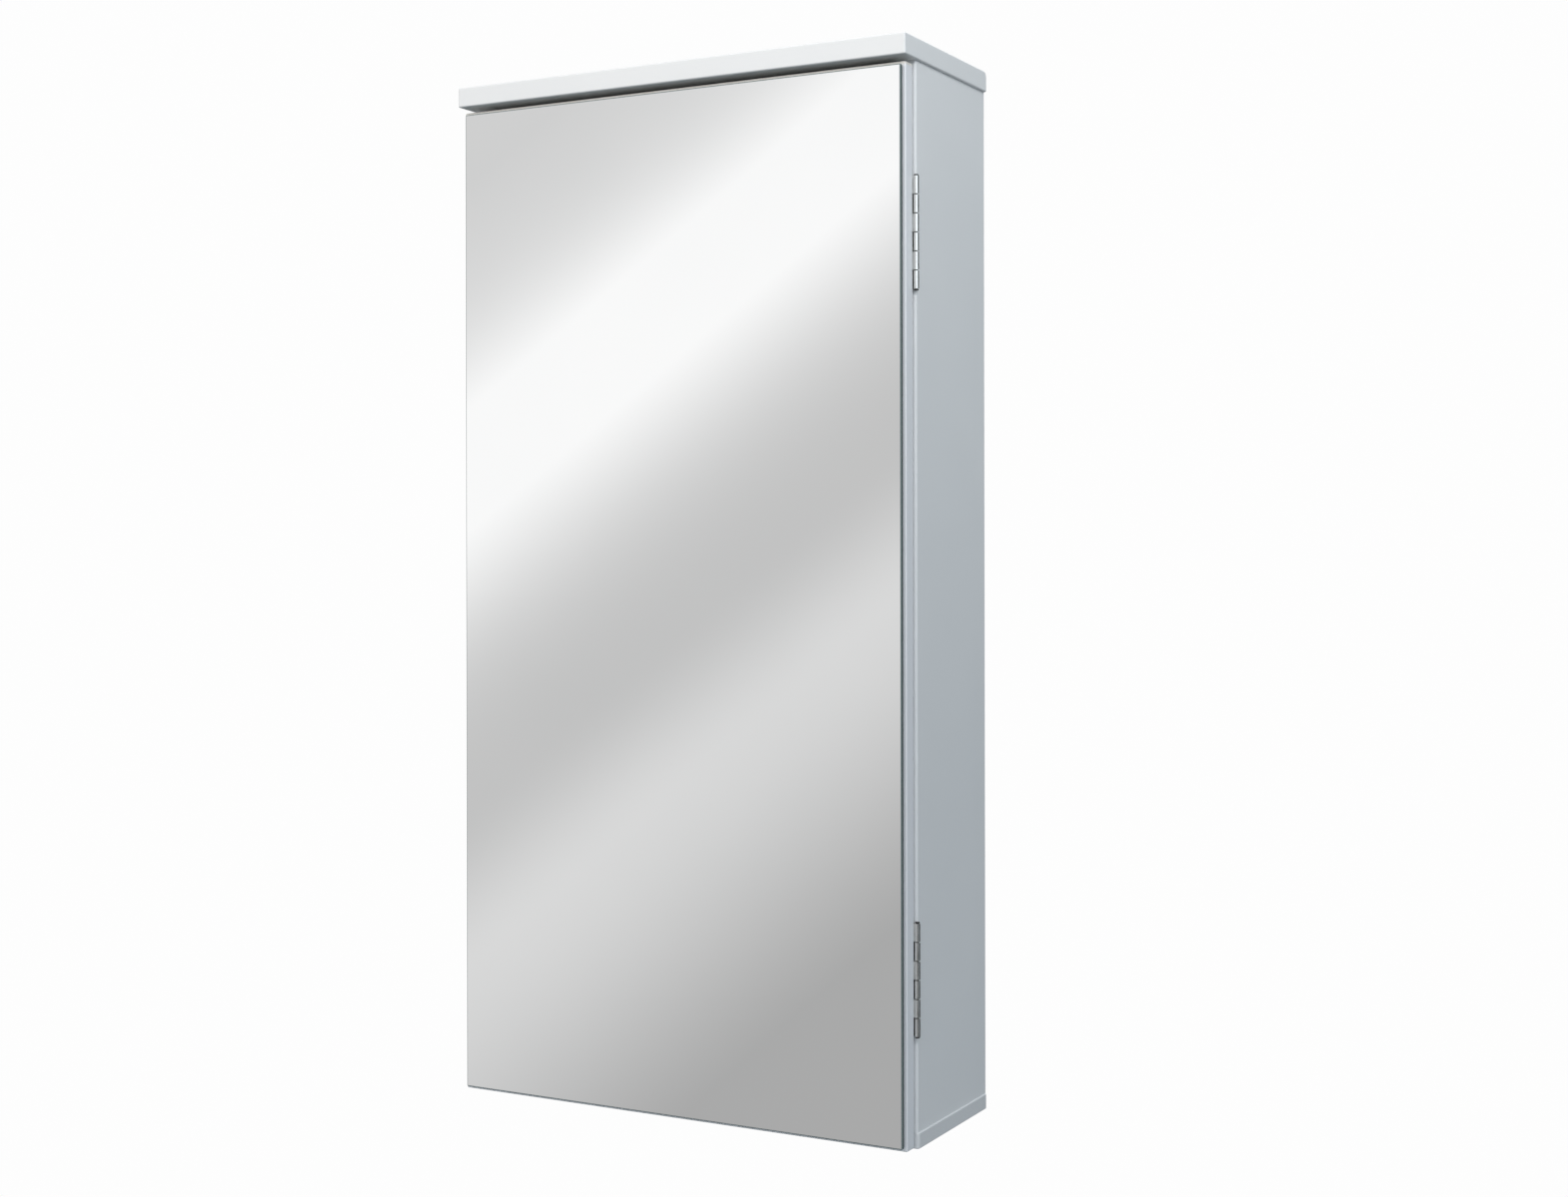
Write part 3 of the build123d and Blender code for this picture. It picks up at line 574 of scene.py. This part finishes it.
# ---------------------------------------------------------------- studio
def camera():
    yaw, roll = math.radians(CAMERA_YAW), math.radians(CAMERA_ROLL)
    forward = Vector((-math.sin(yaw), math.cos(yaw), 0.0))
    level = Vector((math.cos(yaw), math.sin(yaw), 0.0))
    right = level * math.cos(roll) + Vector((0, 0, 1)) * math.sin(roll)
    up = right.cross(forward)
    data = bpy.data.cameras.new("camera")
    data.lens = CAMERA_LENS
    data.sensor_width = CAMERA_SENSOR_W
    data.shift_y = CAMERA_SHIFT_Y
    made = bpy.data.objects.new("camera", data)
    turn = Matrix((right, up, -forward)).transposed()
    made.matrix_world = Matrix.Translation(CAMERA_AT) @ turn.to_4x4()
    show(made)
    bpy.context.scene.camera = made


def softbox(name, reach, size, power, colour):
    """A rectangular area light that faces the cabinet's top right front corner, and isn't itself
    seen in polished surfaces."""
    low, high = CAD_BOX
    corner = Vector((high.x, low.y, high.z))
    data = bpy.data.lights.new(name, "AREA")
    data.shape = "RECTANGLE"
    data.size, data.size_y = size
    data.energy = power
    data.color = colour
    light = bpy.data.objects.new(name, data)
    light.location = corner + Vector(reach)
    light.rotation_mode = "QUATERNION"
    light.rotation_quaternion = (-Vector(reach)).to_track_quat("-Z", "Y")
    light.visible_glossy = False
    show(light)


def world():
    """A soft studio all round, which the mirror shows; the camera sees plain white behind."""
    made = bpy.data.worlds.new("studio")
    made.use_nodes = True
    made.node_tree.nodes.clear()
    studio = Nodes(made.node_tree)
    yaw, tilt = math.radians(CAMERA_YAW), math.radians(BAND_TILT)
    along_wall = Vector((math.cos(yaw), -math.sin(yaw), 0.0))
    across = along_wall * math.cos(tilt) - Vector((0, 0, 1)) * math.sin(tilt)
    direction = studio.node("TexCoord", {}).outputs["Generated"]
    x, y, z = studio.node("SeparateXYZ", {0: direction}).outputs
    place = studio.node("VectorMath", {0: direction, 1: across}, operation="DOT_PRODUCT").outputs["Value"]
    below = studio.spread(z, 0.0, 1.0, *SHADE_HEIGHTS, "SMOOTHSTEP")
    front_left = studio.blend(below, studio.ramp(place, BANDS, "CARDINAL"), SHADE_BELOW)
    front_right = studio.ramp(z, RIGHT_RISE, "EASE", RIGHT_TINT)
    to_right = studio.spread(x, 0.0, 1.0, *RIGHT_BEGINS, "SMOOTHSTEP")
    front = studio.blend(to_right, front_left, front_right)
    to_back = studio.spread(y, 0.0, 1.0, *BACK_BEGINS, "SMOOTHSTEP")
    around = studio.blend(to_back, front, studio.ramp(z, BACK_RISE, "EASE", BACK_TINT))
    seen = studio.node("LightPath", {}).outputs["Is Camera Ray"]
    shown = studio.node("Background", {"Color": studio.blend(seen, around, BACKGROUND)})
    output = studio.node("OutputWorld", {})
    studio.tree.links.new(shown.outputs[0], output.inputs["Surface"])
    bpy.context.scene.world = made


def floor():
    """A plain pale floor under the wall-hung cabinet."""
    shader = Shader("floor_paint", Roughness=0.7, Emission_Color=(1.0, 1.0, 1.0, 1.0),
                    Emission_Strength=FLOOR_GLOW)
    shader.mottle(shader.noise(3.0, 3.0), (0.90, 0.90, 0.90), (0.88, 0.88, 0.88))
    shape = bmesh.new()
    bmesh.ops.create_circle(shape, cap_ends=True, segments=FLOOR_SIDES, radius=FLOOR_R)
    bmesh.ops.translate(shape, vec=(0.0, 0.0, CAD_BOX[0].z - FLOOR_DROP), verts=shape.verts)
    made = mesh_object("floor", shape, [shader.material])
    made.visible_diffuse = False
    made.visible_glossy = False


bpy.context.scene.view_settings.view_transform = "Standard"
dress_cad_nodes()
mirror_plate()
latch_spring()
camera()
softbox("front_softbox", *FRONT_SOFTBOX)
softbox("side_softbox", *SIDE_SOFTBOX)
softbox("key_softbox", *KEY_SOFTBOX)
softbox("back_softbox", *BACK_SOFTBOX)
world()
floor()
